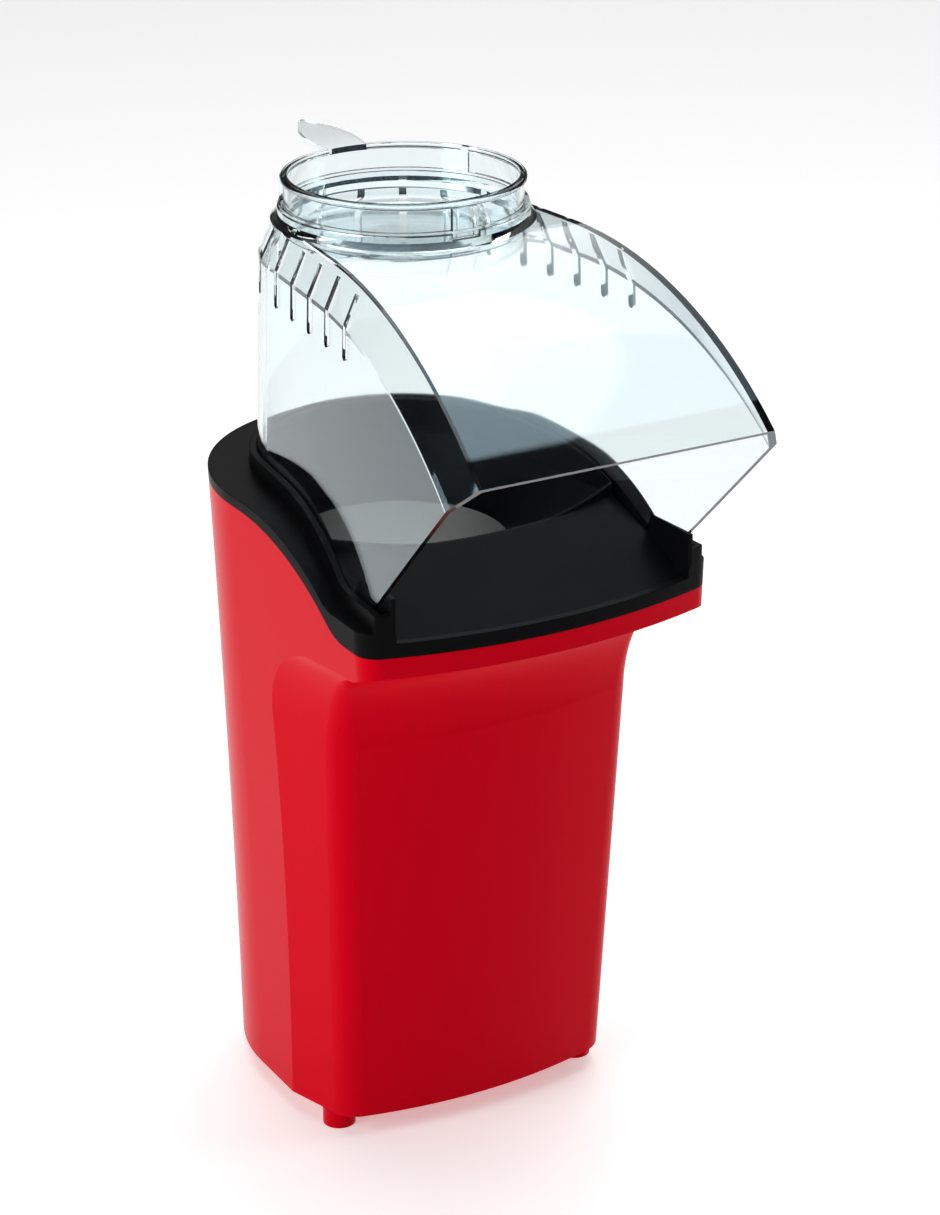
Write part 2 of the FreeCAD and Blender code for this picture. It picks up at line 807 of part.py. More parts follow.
def make_measuring_cap():
    wall = size("cap_wall")
    skirt = cap_skirt()
    top = collar_top() + size("cap_stand")
    floor = top - size("cap_depth")
    bend = 4.0
    cup = Part.makeCylinder(skirt, size("cap_depth"), vec(0, 0, floor))
    cup = cup.makeFillet(bend, [e for e in cup.Edges if e.BoundBox.ZMax < floor + 0.1])
    hollow = Part.makeCylinder(skirt - wall, size("cap_depth"), vec(0, 0, floor + wall))
    hollow = hollow.makeFillet(bend - wall,
                               [e for e in hollow.Edges if e.BoundBox.ZMax < floor + wall + 0.1])
    bead = Part.makeTorus(size("rim_radius") - size("rim_bead") / 2, size("rim_bead") / 2,
                          vec(0, 0, top - size("rim_bead") / 2))
    stop = tube(skirt - 1.0, size("rim_radius") + 0.8, collar_top() + 0.3, collar_top() + 1.6)
    lug = Part.makeBox(size("lug_width"), 2.4, size("cap_stand") - 1.0,
                       vec(-size("lug_width") / 2, -skirt - 1.5, collar_top() - 1.6))
    cap = cup.fuse([bead, stop, lug])
    for turn in (30.0, 150.0):
        rib = Part.makeBox(2.4, 4.0, size("cap_stand") - 2.0,
                           vec(skirt - 1.0, -2.0, collar_top() + 0.6))
        cap = cap.fuse(rib.rotated(vec(0, 0), UP, turn))
    cap = cap.cut(hollow)
    # leaf-shaped lifting tab at the back, a little raised towards its tip
    root = size("rim_radius") - 1.6
    tip = size("rim_radius") + size("tab_length")
    half = size("tab_width") / 2
    side = [vec(half * 0.72, root - 6.0), vec(half, root + size("tab_length") * 0.42),
            vec(2.4, tip - 1.6)]
    right = Part.BSplineCurve()
    right.interpolate(side)
    left = Part.BSplineCurve()
    left.interpolate([vec(-p.x, p.y) for p in side])
    nose = Part.Arc(side[2], vec(0, tip), vec(-2.4, tip - 1.6))
    foot = Part.LineSegment(side[0], vec(-side[0].x, side[0].y))
    outline = Part.Wire(Part.__sortEdges__([right.toShape(), nose.toShape(), left.toShape(),
                                            foot.toShape()]))
    tab = Part.Face(outline).extrude(vec(0, 0, size("tab_thickness")))
    tab.translate(vec(0, 0, top - size("rim_bead")))
    tab.rotate(vec(0, root, top - size("rim_bead")), vec(1, 0, 0), 3.0)
    tab = tab.cut(Part.makeCylinder(size("rim_radius") - size("rim_bead") / 2, 40.0,
                                    vec(0, 0, top - 20.0)))
    cap = cap.fuse(tab)
    cap.translate(cap_axis())
    return cap.removeSplitter()


# ---------------------------------------------------------------- trim

def deck_section(height, edge, radius, half):
    """Plan of the space in front of a bowed line, reaching past the front of the head."""
    centre = radius - edge
    side = centre - math.sqrt(radius ** 2 - half ** 2)
    front = -size("head_depth") - 20.0
    corners = [vec(half, side), vec(half, front), vec(-half, front), vec(-half, side)]
    edges = [Part.LineSegment(first, second).toShape()
             for first, second in zip(corners, corners[1:])]
    edges.append(Part.Arc(vec(-half, side), vec(0, -edge), vec(half, side)).toShape())
    wire = Part.Wire(edges)
    wire.translate(vec(0, 0, height))
    return wire


def deck_cutter(wall=0.0):
    """Space above the chute, which climbs from the front edge to the lip; lower by a wall."""
    half = size("deck_half_width") + wall
    low = deck_section(size("deck_edge_height") - wall, size("head_depth") - size("deck_edge_rim"),
                       size("head_front_radius") - size("deck_edge_rim"), half)
    high = deck_section(size("lip_height") - wall, size("lip_depth"), size("lip_radius"), half)
    chute = Part.makeLoft([low, high], True, True)
    return chute.fuse(Part.Face(high).extrude(vec(0, 0, FAR)))


def bowl_forms(wall):
    """Funnel, upright brim and throat round the chamber's mouth, a wall larger outside."""
    ring = size("chamber_radius") - size("chamber_wall") + wall
    low = size("bowl_height") - wall
    back = size("hood_radius") - size("hood_wall") - size("groove_gap") - size("rim_wall") + wall
    half = size("deck_half_width") - size("rim_wall") + wall
    lip = size("lip_radius") + wall
    centre = vec(0, size("lip_radius") - size("lip_depth") + 1.0)
    turn = math.degrees(math.asin(half / lip))
    corner_y = centre.y - math.sqrt(lip * lip - half * half)
    brim = mirrored_edges([
        arc(vec(0, 0), back, 90, 0),
        Part.LineSegment(vec(back, 0), vec(half, corner_y)).toShape(),
        arc(centre, lip, -90 + turn, -90),
    ])
    mouth = mirrored_edges([
        arc(vec(0, 0), ring, 90, 0),
        arc(vec(0, 0), ring, 0, -52),
        arc(vec(0, 0), ring, -52, -90),
    ])
    mouth.translate(vec(0, 0, low))
    brim.translate(vec(0, 0, size("lip_height") + 0.3))
    funnel = Part.makeLoft([mouth, brim], True, True)
    upper = Part.Face(brim).extrude(vec(0, 0, 60.0))
    throat = Part.makeCylinder(ring, 30.0, vec(0, 0, low - 29.0))
    return funnel, upper, throat


def housing_top():
    """Upper face of the housing's flange, one gasket below the chamber's rim."""
    return size("bowl_height") - size("bowl_wall") - size("chamber_wall") - size("gasket_thickness")


def housing_screw_reach():
    return size("housing_radius") + size("housing_flange") / 2


def housing_screw_spots():
    reach = housing_screw_reach()
    return [(reach * math.cos(math.radians(turn)), reach * math.sin(math.radians(turn)))
            for turn in (90.0, 210.0, 330.0)]


def groove_form(low, top):
    """The slot that the hood's lower edge drops into, with a pocket at each front end."""
    gap = size("groove_gap")
    front = size("mouth_reach") - size("rim_setback") - size("rim_wall")
    slot = hood_prism(gap, low, top, front)
    slot = slot.cut(hood_prism(-size("hood_wall") - gap, low - 1.0, top + 2.0, front + 40.0))
    return slot.cut(under(flange_curve(), -size("groove_depth")))


def make_top_trim():
    top = size("flange_height") + size("rim_height") + 6.0
    low = size("seam_height") - size("seam_drop") - 6.0
    rim = size("groove_gap") + size("rim_wall")
    skin = size("trim_wall")
    above_seam = head_block(0.0, low, top).cut(under(seam_curve()))
    flange = above_seam.common(under(flange_curve()))
    around = hood_prism(rim, low, top, size("mouth_reach") - size("rim_setback"))
    crown = above_seam.common(around).common(under(flange_curve(), size("rim_height")))
    # the chute's back part stands higher than the rim
    inner = size("hood_wall") + size("groove_gap")
    chute = hood_prism(-inner, low, size("lip_height"), size("mouth_reach") - size("rim_setback"))
    chute = chute.common(above_seam)
    chute = chute.cut(Part.makeBox(FAR, FAR, FAR, vec(-FAR / 2, -size("chamber_radius"), 0.0)))
    trim = flange.fuse([crown, chute]).cut(groove_form(low, top + 1.0))
    funnel, upper, throat = bowl_forms(0.0)
    trim = trim.cut([deck_cutter(), funnel, upper, throat])
    # the hollow underside, one wall away from every upper face
    hollow = head_block(skin, low - 40.0, top)
    hollow = hollow.common(under(flange_curve(), -skin - size("groove_depth")))
    outer_funnel, outer_upper, outer_throat = bowl_forms(size("bowl_wall"))
    hollow = hollow.cut([deck_cutter(skin), outer_funnel, outer_upper, outer_throat])
    bowl = outer_funnel.fuse(outer_upper).common(under(flange_curve()))
    bowl = bowl.cut([deck_cutter(), funnel, upper, throat, groove_form(low, top + 1.0)])
    posts = [upright(size("boss_radius"), cove_seat_height(), top, x, y)
             for x, y in cove_screw_spots()]
    posts += [upright(size("boss_radius"), housing_top(), top, x, y)
              for x, y in housing_screw_spots()]
    below = under(flange_curve(), -size("groove_depth") - 1.0).cut(deck_cutter(1.0))
    posts = [post.common(below).cut([funnel, upper, throat]) for post in posts]
    trim = trim.cut(hollow).fuse([bowl] + posts)
    # a lip inside the seam locates the trim in the body
    inset = size("shell_wall") + size("cover_gap")
    lip = head_block(inset, low - 8.0, top).cut(head_block(inset + 1.8, low - 9.0, top + 1.0))
    lip = lip.common(under(seam_curve(), 1.5)).cut(under(seam_curve(), -size("lip_overlap")))
    lip = lip.common(cove_form(inset))
    ledge = head_block(skin - 0.6, low - 8.0, top).cut(head_block(inset + 1.8, low - 9.0, top + 1.0))
    ledge = ledge.common(under(seam_curve(), 1.5)).cut(under(seam_curve()))
    trim = trim.fuse([lip, ledge])
    pilot = size("screw_radius") + size("shaft_gap")
    holes = [upright(pilot, 200.0, cove_seat_height() + 13.0, x, y) for x, y in cove_screw_spots()]
    holes += [upright(pilot, 200.0, housing_top() + 12.0, x, y) for x, y in housing_screw_spots()]
    return trim.cut(holes).removeSplitter()


# ---------------------------------------------------------------- popping chamber and heater

RIM = "bowl_height - bowl_wall"
FLANGE = RIM + " - chamber_wall - gasket_thickness"


def make_popping_chamber():
    floor, side = "chamber_bottom", "chamber_radius"
    can = turned("Chamber", [
        ("0", floor), (side + " - 9", floor), (side, floor + " + 9"),
        (side, RIM + " - chamber_wall"), (side + " + chamber_rim", RIM + " - chamber_wall"),
        (side + " + chamber_rim", RIM), (side + " - chamber_wall", RIM),
        (side + " - chamber_wall", floor + " + 9.4"), (side + " - 9.4", floor + " + chamber_wall"),
        ("0", floor + " + chamber_wall"),
    ])
    # slanting louvres blow the hot air round the can
    slot = Part.makeBox(6.0, 1.8, 13.0, vec(-3.0, -0.9, -6.5))
    slot.rotate(vec(0, 0), vec(1, 0, 0), 24.0)
    slot.translate(vec(size("chamber_radius"), 0, size("chamber_bottom") + 19.0))
    keep(minus("ChamberCut", can, ring_of("Louvres", slot, int(size("louvre_count")))),
         "popping_chamber")


def make_heater():
    turned("Gasket", [
        ("chamber_radius + 1", FLANGE), ("chamber_radius + chamber_rim + 3", FLANGE),
        ("chamber_radius + chamber_rim + 3", FLANGE + " + gasket_thickness"),
        ("chamber_radius + 1", FLANGE + " + gasket_thickness"),
    ], "chamber_gasket")
    foot, wall = "housing_bottom", "housing_wall"
    side = "housing_radius"
    flange = side + " + housing_flange"
    housing = turned("Housing", [
        ("fan_radius - 2", foot), (flange, foot), (flange, foot + " + " + wall),
        (side, foot + " + " + wall), (side, FLANGE + " - " + wall), (flange, FLANGE + " - " + wall),
        (flange, FLANGE), ("chamber_radius + 1.5", FLANGE),
        ("chamber_radius + 1.5", FLANGE + " - " + wall), (side + " - " + wall, FLANGE + " - " + wall),
        (side + " - " + wall, foot + " + " + wall), ("fan_radius - 2", foot + " + " + wall),
    ])
    reach = housing_screw_reach()
    hole = upright(size("screw_radius") + 0.3, -20.0, 20.0, reach, 0.0)
    holes = [hole.rotated(vec(0, 0), UP, turn) for turn in (90.0, 210.0, 330.0)]
    holes = [cut_hole.translated(vec(0, 0, housing_top())) for cut_hole in holes]
    lower = [hole.rotated(vec(0, 0), UP, turn) for turn in (30.0, 150.0, 270.0)]
    lower = [cut_hole.translated(vec(0, 0, size("housing_bottom"))) for cut_hole in lower]
    tool = doc.addObject("Part::Feature", "HousingHoles")
    tool.Shape = Part.makeCompound(holes + lower)
    stand_on_axis(tool)
    keep(minus("HousingCut", housing, tool), "heater_housing")
    # crossed mica boards with the resistance wire wound through them
    stand = foot + " + " + wall
    long_side = "2 * coil_radius + 18"
    boards = [block("BoardX", long_side, "mica_thickness", "mica_height", z=stand),
              block("BoardY", "mica_thickness", long_side, "mica_height", z=stand)]
    cross = joined("Cross", boards)
    wires, sleeves = [], []
    for k in range(int(size("coil_turns"))):
        height = "%s + coil_pitch * %d" % (stand, k + 1)
        for sort, grow in ((wires, "coil_wire"), (sleeves, "coil_wire + 0.3")):
            sort.append(hoop("Wire", "coil_radius", grow, height))
    small, small_sleeves = [], []
    for k in range(3):
        height = "%s + coil_pitch * %d" % (stand, k + 2)
        for sort, grow in ((small, "coil_wire - 0.4"), (small_sleeves, "coil_wire")):
            sort.append(hoop("Dropper", "dropper_radius", grow, height))
    keep(minus("MicaCut", cross, joined("Sleeves", sleeves + small_sleeves)), "mica_frame")
    keep(grouped("MainCoil", wires), "heating_coil")
    keep(grouped("SmallCoil", small), "dropper_coil")
    crown = stand + " + mica_height"
    disc = rod("StatDisc", "7.5", "5.5", z=crown)
    blade = block("StatBlades", "26", "4", "0.8", z=crown + " + 1")
    keep(joined("Stat", [disc, blade]), "thermostat")
    fuse = Part.makeCylinder(1.6, 22.0, vec(-11.0, 24.0, size("housing_bottom") + size("housing_wall")
                                            + size("mica_height") + 1.6), vec(1, 0, 0))
    shaped("thermal_fuse", fuse)


def hoop(name, radius, wire, height):
    thing = doc.addObject("Part::Torus", name)
    thing.setExpression("Radius1", bound(radius))
    thing.setExpression("Radius2", bound(wire))
    return place(thing, z=height)


# ---------------------------------------------------------------- fan and motor

BRACKET = "fan_floor - bush_height - bracket_thickness"


def make_fan():
    floor, side, wall = "fan_floor", "housing_radius", "fan_wall"
    flange = side + " + housing_flange"
    casing = turned("FanCasing", [
        ("inlet_radius", floor), (side, floor), (side, "housing_bottom - " + wall),
        (flange, "housing_bottom - " + wall), (flange, "housing_bottom"),
        (side + " - " + wall, "housing_bottom"), (side + " - " + wall, floor + " + " + wall),
        ("inlet_radius", floor + " + " + wall),
    ])
    tool = doc.addObject("Part::Feature", "FanHoles")
    hole = upright(size("screw_radius") + 0.3, -20.0, 20.0, housing_screw_reach(), 0.0)
    upper = [hole.rotated(vec(0, 0), UP, turn).translated(vec(0, 0, size("housing_bottom")))
             for turn in (30.0, 150.0, 270.0)]
    hole = upright(size("screw_radius") + size("shaft_gap"), -20.0, 20.0, size("bracket_reach"), 0.0)
    lower = [hole.rotated(vec(0, 0), UP, turn).translated(vec(0, 0, size("fan_floor")))
             for turn in (90.0, 210.0, 330.0)]
    tool.Shape = Part.makeCompound(upper + lower)
    stand_on_axis(tool)
    keep(minus("FanCasingCut", casing, tool), "fan_housing")
    # impeller: a hub, a top disc and blades that lean back
    low = size("fan_floor") + size("fan_wall") + size("fan_gap")
    high = low + size("fan_height")
    bore = size("shaft_radius")
    disc = tube(bore, size("fan_radius"), high - 1.5, high)
    hub = tube(bore, 6.0, high - 15.0, high)
    wheel = disc.fuse(hub)
    length = size("fan_radius") - size("inlet_radius") + 4.0
    blade = Part.makeBox(length, 1.2, size("fan_height") - 1.0, vec(-length / 2, -0.6, low))
    blade.rotate(vec(0, 0), UP, -28.0)
    blade.translate(vec(size("fan_radius") - length / 2 - 1.4, 0, 0))
    count = int(size("fan_blades"))
    wheel = wheel.fuse([blade.rotated(vec(0, 0), UP, 360.0 * k / count) for k in range(count)])
    wheel = wheel.common(Part.makeCylinder(size("fan_radius"), 200.0))
    shaped("impeller", wheel)
    nut = tube(bore, 3.4, high, high + 2.6)
    shaped("impeller_nut", nut.common(Part.makeBox(6.0, 20.0, 200.0, vec(-3.0, -10.0, 0))))


def make_motor():
    top = BRACKET
    side, wall = "motor_radius", "motor_wall"
    low = top + " - motor_height"
    can = turned("Can", [
        ("4", top + " - " + wall), ("4", top), (side, top), (side, low),
        (side + " - " + wall, low), (side + " - " + wall, top + " - " + wall),
    ])
    drills = [rod("CanHole", "1.45", "motor_wall + 2", x=spot, z=top + " - motor_wall - 1")
              for spot in ("-9", "9")]
    keep(minus("CanCut", can, joined("CanHoles", drills)), "motor_can")
    bore = "shaft_radius + shaft_gap"
    inside = side + " - " + wall
    turned("EndCap", [
        ("3", low), (inside, low), (inside, low + " + 3"), ("3", low + " + 3"),
    ], "motor_end_cap")
    turned("UpperBearing", [
        (bore, top + " - 4"), ("4", top + " - 4"), ("4", top), (bore, top),
    ], "upper_bearing")
    turned("LowerBearing", [
        (bore, low), ("3", low), ("3", low + " + 3"), (bore, low + " + 3"),
    ], "lower_bearing")
    base = amount(low)
    inner = amount(inside) - size("magnet_thickness")
    magnets = tube(inner, amount(inside), base + 8.0, base + 30.0)
    gap = Part.makeBox(60.0, 12.0, 60.0, vec(-30.0, -6.0, base))
    shaped("motor_magnets", magnets.cut(gap))
    core_radius = inner - size("air_gap")
    core = tube(size("shaft_radius"), core_radius, base + 10.0, base + 28.0)
    notch = Part.makeBox(6.0, 3.0, 40.0, vec(core_radius - 5.0, -1.5, base))
    notches = [notch.rotated(vec(0, 0), UP, 120.0 * k + 30.0) for k in range(3)]
    shaped("armature_core", core.cut(notches))
    ends = [tube(size("shaft_radius") + 0.6, core_radius - 1.2, base + z, base + z + 2.6)
            for z in (7.4, 28.0)]
    shaped("armature_windings", Part.makeCompound(ends))
    shaped("commutator", tube(size("shaft_radius"), 4.0, base + 4.0, base + 7.2))
    brush = Part.makeBox(4.0, 2.4, 2.0, vec(4.3, -1.2, base + 4.6))
    shaped("motor_brushes", Part.makeCompound([brush, brush.rotated(vec(0, 0), UP, 180.0)]))
    fan_top = size("fan_floor") + size("fan_wall") + size("fan_gap") + size("fan_height")
    shaft = rod("Shaft", "shaft_radius", "%.3f" % (fan_top + 4.5 - base - 0.6), z=low + " + 0.6")
    keep(shaft, "motor_shaft")


def make_bracket():
    top = amount(BRACKET) + size("bracket_thickness")
    thick = size("bracket_thickness")
    reach = size("bracket_reach")
    plate = Part.makeCylinder(24.0, thick, vec(0, 0, top - thick))
    arm = Part.makeBox(reach, 12.0, thick, vec(0, -6.0, top - thick))
    pad = Part.makeCylinder(6.0, thick, vec(reach, 0, top - thick))
    turns = (90.0, 210.0, 330.0)
    plate = plate.fuse([piece.rotated(vec(0, 0), UP, turn) for turn in turns for piece in (arm, pad)])
    hole = upright(size("screw_radius") + 0.3, 0.0, 200.0, reach, 0.0)
    holes = [hole.rotated(vec(0, 0), UP, turn) for turn in turns]
    holes.append(Part.makeCylinder(4.4, 200.0))
    holes += [upright(1.6, 0.0, 200.0, x, 0.0) for x in (-9.0, 9.0)]
    shaped("motor_bracket", plate.cut(holes))
    bush = tube(size("screw_radius") + 0.3, size("bush_radius"), top, size("fan_floor"))
    bush.translate(vec(reach, 0, 0))
    shaped("vibration_bushes",
           Part.makeCompound([bush.rotated(vec(0, 0), UP, turn) for turn in turns]))
    spots = [(reach * math.cos(math.radians(turn)), reach * math.sin(math.radians(turn)))
             for turn in turns]
    length = size("fan_floor") + size("fan_wall") + 1.0 - (top - thick)
    shaped("bracket_screws", screws(spots, top - thick, length))
    small = []
    for x in (-9.0, 9.0):
        head = upright(2.6, top, top + 1.8, x, 0.0)
        small.append(head.fuse(upright(1.4, top - thick - 0.9, top, x, 0.0)))
    shaped("motor_screws", Part.makeCompound(small))


# ---------------------------------------------------------------- fasteners and electrics

def screws(spots, seat, length):
    """Cross-headed screws driven upwards, their heads just below the seat."""
    made = []
    for x, y in spots:
        head = upright(size("screw_head_radius"), seat - size("screw_head"), seat, x, y)
        slot = Part.makeBox(4.4, 0.9, 1.2, vec(x - 2.2, y - 0.45, seat - size("screw_head") - 0.2))
        cross = Part.makeBox(0.9, 4.4, 1.2, vec(x - 0.45, y - 2.2, seat - size("screw_head") - 0.2))
        shank = upright(size("screw_radius"), seat, seat + length, x, y)
        made.append(head.fuse(shank).cut([slot, cross]))
    return Part.makeCompound(made)


def make_screws():
    shaped("base_screws", screws(feet_spots(), 5.5, 28.0))
    shaped("trim_screws", screws(cove_screw_spots(), cove_seat_height() - 3.0, 14.0))
    seat = housing_top() - size("housing_wall")
    shaped("housing_screws", screws(housing_screw_spots(), seat, 12.0))
    reach = housing_screw_reach()
    spots = [(reach * math.cos(math.radians(turn)), reach * math.sin(math.radians(turn)))
             for turn in (30.0, 150.0, 270.0)]
    seat = size("housing_bottom") - size("fan_wall")
    shaped("fan_housing_screws", screws(spots, seat, 8.0))


def make_electrics():
    cover_top = "foot_height + cover_gap + cover_thickness"
    deck = cover_top + " + board_rise"
    keep(block("Board", "26", "13", "1.6", x="-board_side", y="board_back", z=deck),
         "rectifier_board")
    diodes = []
    for k in range(4):
        spot = vec(-size("board_side") - 9.0 + 6.0 * k, size("board_back") - 3.0,
                   amount(deck) + 1.6 + 1.3)
        diodes.append(Part.makeCylinder(1.3, 6.0, spot, vec(0, 1, 0)))
    shaped("rectifier_diodes", Part.makeCompound(diodes))
    body = block("Terminals", "26", "11", "9", x="board_side", y="board_back", z=deck)
    wells = [rod("Well", "2.2", "6", x="board_side + %d" % step, y="board_back", z=deck + " + 5")
             for step in (-8, 0, 8)]
    keep(minus("TerminalsCut", body, joined("Wells", wells)), "terminal_block")
    heads = [rod("TerminalScrew", "1.9", "2.4", x="board_side + %d" % step, y="board_back",
                 z=deck + " + 5") for step in (-8, 0, 8)]
    keep(grouped("TerminalScrews", heads), "terminal_screws")
    # moulded bush that the mains lead passes through
    bore = size("cord_radius")
    outside = size("bottom_radius") + 1.6
    wide = size("gland_radius")
    gland = Part.makeCylinder(wide, 14.0, vec(0, outside - 10.0, 0), vec(0, 1, 0))
    flange = Part.makeCylinder(wide + 2.5, 3.4, vec(0, outside, 0), vec(0, 1, 0))
    ring = Part.makeCylinder(wide + 1.0, 3.0, vec(0, outside - 9.0, 0), vec(0, 1, 0))
    gland = gland.fuse([flange, ring])
    gland = gland.cut(Part.makeCylinder(bore, 40.0, vec(0, outside - 20.0, 0), vec(0, 1, 0)))
    gland.translate(vec(0, 0, size("gland_height")))
    shaped("cord_gland", gland)
    # bridge that grips the lead on the base cover
    low = amount(cover_top)
    bridge = Part.makeBox(26.0, 8.0, 10.0, vec(-13.0, size("clamp_back") - 4.0, low))
    tunnel = Part.makeCylinder(bore, 20.0, vec(0, size("clamp_back") - 10.0, low + bore - 0.2),
                               vec(0, 1, 0))
    bridge = bridge.cut([tunnel] + [upright(1.6, 0.0, 100.0, x, y) for x, y in clamp_screws()])
    shaped("cord_clamp", bridge)
    grips = []
    for x, y in clamp_screws():
        grips.append(upright(3.0, low + 10.0, low + 12.0, x, y).fuse(
            upright(1.25, low - 2.0, low + 10.0, x, y)))
    shaped("clamp_screws", Part.makeCompound(grips))


# ---------------------------------------------------------------- the whole machine

shaped("body_shell", make_body_shell())
shaped("base_cover", make_base_cover())
shaped("top_trim", make_top_trim())
shaped("hood", make_hood())
shaped("measuring_cap", make_measuring_cap())
make_popping_chamber()
make_heater()
make_fan()
make_motor()
make_bracket()
make_screws()
make_electrics()

doc.recompute()
for thing in doc.Objects:
    if {"Invalid", "Error"} & set(thing.State):
        raise RuntimeError("%s failed: %s" % (thing.Name, thing.State))
for thing in nodes:
    if thing.Shape.isNull() or not thing.Shape.isValid():
        raise RuntimeError("%s has a faulty shape" % thing.Label)
os.makedirs("parts", exist_ok=True)
for thing in nodes:
    thing.Shape.exportStep("parts/%s.step" % thing.Label)
print("%d sub-parts written" % len(nodes))
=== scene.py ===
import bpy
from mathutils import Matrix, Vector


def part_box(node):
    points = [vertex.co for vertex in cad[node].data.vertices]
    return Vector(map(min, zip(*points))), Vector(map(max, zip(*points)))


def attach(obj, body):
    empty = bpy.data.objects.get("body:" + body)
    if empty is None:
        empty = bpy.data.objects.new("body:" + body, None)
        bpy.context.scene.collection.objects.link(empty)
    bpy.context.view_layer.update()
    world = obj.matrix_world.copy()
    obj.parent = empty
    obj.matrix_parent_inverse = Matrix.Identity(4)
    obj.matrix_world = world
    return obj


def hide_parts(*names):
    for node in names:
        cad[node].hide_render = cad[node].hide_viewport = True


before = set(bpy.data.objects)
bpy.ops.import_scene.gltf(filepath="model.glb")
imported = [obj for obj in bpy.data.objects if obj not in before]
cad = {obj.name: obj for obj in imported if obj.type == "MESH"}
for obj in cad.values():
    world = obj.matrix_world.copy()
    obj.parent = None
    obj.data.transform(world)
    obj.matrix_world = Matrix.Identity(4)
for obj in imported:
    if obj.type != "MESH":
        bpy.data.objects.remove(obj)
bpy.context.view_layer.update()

import math
import bpy
from mathutils import Matrix, Vector


# ---- Helpers that make materials and give them to the CAD nodes.

def new_material(name):
    """A material, its node tree and its Principled shader."""
    made = bpy.data.materials.new(name)
    made.use_nodes = True
    return made, made.node_tree, made.node_tree.nodes["Principled BSDF"]


def node(tree, kind, label="", **values):
    """Adds a shader node; each value sets the input of that name."""
    made = tree.nodes.new(kind)
    made.label = label
    for name, value in values.items():
        made.inputs[name.replace("_", " ")].default_value = value
    return made


def spread(tree, field, low, high):
    """A number that runs from low to high as a 0 to 1 field does."""
    made = node(tree, "ShaderNodeMapRange", To_Min=low, To_Max=high)
    tree.links.new(field, made.inputs["Value"])
    return made.outputs["Result"]


def tinted(tree, field, first, second):
    """A colour between two, chosen by a 0 to 1 field."""
    made = tree.nodes.new("ShaderNodeMix")
    made.data_type = "RGBA"
    tree.links.new(field, made.inputs[0])
    colours = [socket for socket in made.inputs if socket.type == "RGBA"]
    colours[0].default_value = (*first, 1.0)
    colours[1].default_value = (*second, 1.0)
    return [socket for socket in made.outputs if socket.type == "RGBA"][0]


def raised(tree, shader, field, depth, strength=1.0):
    """Bumps the surface by a 0 to 1 field times a depth in metres."""
    made = node(tree, "ShaderNodeBump", Strength=strength, Distance=depth)
    tree.links.new(field, made.inputs["Height"])
    tree.links.new(made.outputs["Normal"], shader.inputs["Normal"])


def effect_group(name, inputs, outputs):
    """An empty shader node group that puts out fields for materials to use."""
    group = bpy.data.node_groups.new(name, "ShaderNodeTree")
    for label, value in inputs.items():
        socket = group.interface.new_socket(label, in_out="INPUT", socket_type="NodeSocketFloat")
        socket.default_value = value
    for label in outputs:
        group.interface.new_socket(label, in_out="OUTPUT", socket_type="NodeSocketFloat")
    return group, group.nodes.new("NodeGroupInput"), group.nodes.new("NodeGroupOutput")


def placed_group(tree, group, **values):
    """Puts an effect group in a material; each value sets the input of that name."""
    made = tree.nodes.new("ShaderNodeGroup")
    made.node_tree = group
    for name, value in values.items():
        made.inputs[name.replace("_", " ")].default_value = value
    return made


def noise_in(group, ends, scale_socket, times, detail, output, stretch=None):
    """A noise field on Object coordinates inside an effect group."""
    place = group.nodes.new("ShaderNodeTexCoord")
    vector = place.outputs["Object"]
    if stretch:
        turn = group.nodes.new("ShaderNodeMapping")
        turn.inputs["Scale"].default_value = stretch
        group.links.new(vector, turn.inputs["Vector"])
        vector = turn.outputs["Vector"]
    scale = group.nodes.new("ShaderNodeMath")
    scale.operation = "MULTIPLY"
    scale.inputs[1].default_value = times
    group.links.new(ends[0].outputs[scale_socket], scale.inputs[0])
    noise = group.nodes.new("ShaderNodeTexNoise")
    noise.inputs["Detail"].default_value = detail
    group.links.new(vector, noise.inputs["Vector"])
    group.links.new(scale.outputs[0], noise.inputs["Scale"])
    group.links.new(noise.outputs["Fac"], ends[1].inputs[output])


rolled, *rolled_ends = effect_group("rolled_metal", {"Fineness": 1.0}, ["Lines", "Patches"])
noise_in(rolled, rolled_ends, "Fineness", 700.0, 3.0, "Lines", stretch=(1.0, 1.0, 0.04))
noise_in(rolled, rolled_ends, "Fineness", 60.0, 2.0, "Patches")


def metal(name, colour, dull, roughness, fineness=1.0, depth=0.00002):
    """Bare or plated metal: rolling lines, and patches that are duller and darker."""
    made, tree, shader = new_material(name)
    grain = placed_group(tree, rolled, Fineness=fineness)
    shader.inputs["Metallic"].default_value = 1.0
    tree.links.new(tinted(tree, grain.outputs["Patches"], colour, dull),
                   shader.inputs["Base Color"])
    tree.links.new(spread(tree, grain.outputs["Patches"], roughness - 0.08, roughness + 0.12),
                   shader.inputs["Roughness"])
    raised(tree, shader, grain.outputs["Lines"], depth, 0.4)
    return made


def dress(material, *names):
    """Gives CAD nodes their material."""
    for name in names:
        cad[name].data.materials.clear()
        cad[name].data.materials.append(material)


# ---- Motor can, bracket, drum, fan casing and screws.
# They are drawn and pressed from zinc-plated steel sheet, and held with plated steel screws.

zinc = metal("zinc_plated_sheet", (0.66, 0.67, 0.68), (0.50, 0.51, 0.53), 0.32)
plated_screw = metal("plated_screw", (0.62, 0.62, 0.62), (0.45, 0.45, 0.46), 0.26, fineness=3.0)
dress(zinc, "motor_can", "motor_bracket", "thermostat", "heater_housing", "fan_housing")
dress(plated_screw, "motor_screws", "bracket_screws", "motor_shaft", "impeller_nut",
      "fan_housing_screws", "housing_screws", "terminal_screws", "base_screws", "trim_screws",
      "clamp_screws")

